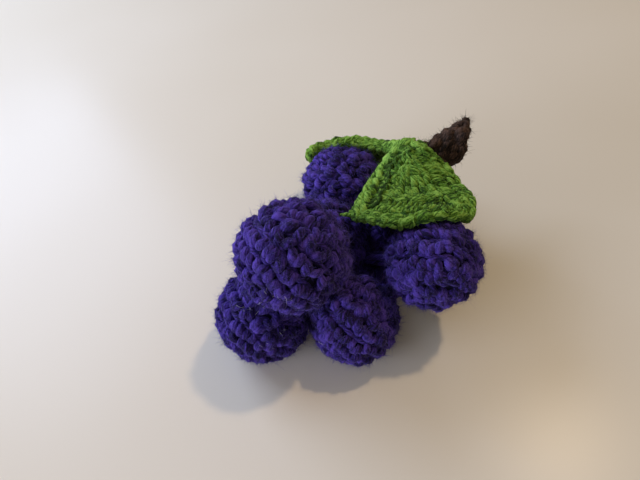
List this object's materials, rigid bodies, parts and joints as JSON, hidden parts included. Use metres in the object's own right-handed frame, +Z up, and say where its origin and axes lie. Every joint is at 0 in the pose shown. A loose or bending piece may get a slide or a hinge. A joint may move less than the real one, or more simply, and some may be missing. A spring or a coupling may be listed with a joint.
{
  "type": "crocheted bunch of grapes",
  "caption": "soft toy bunch of grapes lying on its side: stuffed crocheted balls sewn into a tapering pile, with crocheted leaves and a short thick stem at the wide end",
  "frame": {"origin": "on the surface that the bunch lies on, under the middle of its outer box", "axes": "+Z up; -Y towards the tip ball and the front ball, +Y towards the ball and the leaf at the back; the stem points to +X, +Y and up; the tip of the bunch is at -X"},
  "size_m": [0.108, 0.1092, 0.0668],
  "materials": {
    "purple_yarn": "fuzzy twisted yarn, crocheted",
    "green_yarn": "fuzzy twisted yarn, crocheted",
    "brown_yarn": "fuzzy twisted yarn, crocheted",
    "stuffing": "loose white fibre"
  },
  "bodies": {
    "root": {"back_leaf": "green_yarn", "cover_back": "purple_yarn", "cover_centre": "purple_yarn", "cover_front": "purple_yarn", "cover_right": "purple_yarn", "cover_tip": "purple_yarn", "cover_top": "purple_yarn", "cover_under_leaf": "purple_yarn", "fill_back": "stuffing", "fill_centre": "stuffing", "fill_front": "stuffing", "fill_right": "stuffing", "fill_tip": "stuffing", "fill_top": "stuffing", "fill_under_leaf": "stuffing", "front_leaf": "green_yarn", "stem": "brown_yarn", "tie_back_centre": "purple_yarn", "tie_back_leaf": "green_yarn", "tie_back_under_leaf": "purple_yarn", "tie_centre_under_leaf": "purple_yarn", "tie_front_centre": "purple_yarn", "tie_front_leaf": "green_yarn", "tie_front_right": "purple_yarn", "tie_right_under_leaf": "purple_yarn", "tie_stem": "brown_yarn", "tie_tip_centre": "purple_yarn", "tie_tip_front": "purple_yarn", "tie_top_front": "purple_yarn", "tie_top_tip": "purple_yarn"}
  },
  "joints": []
}
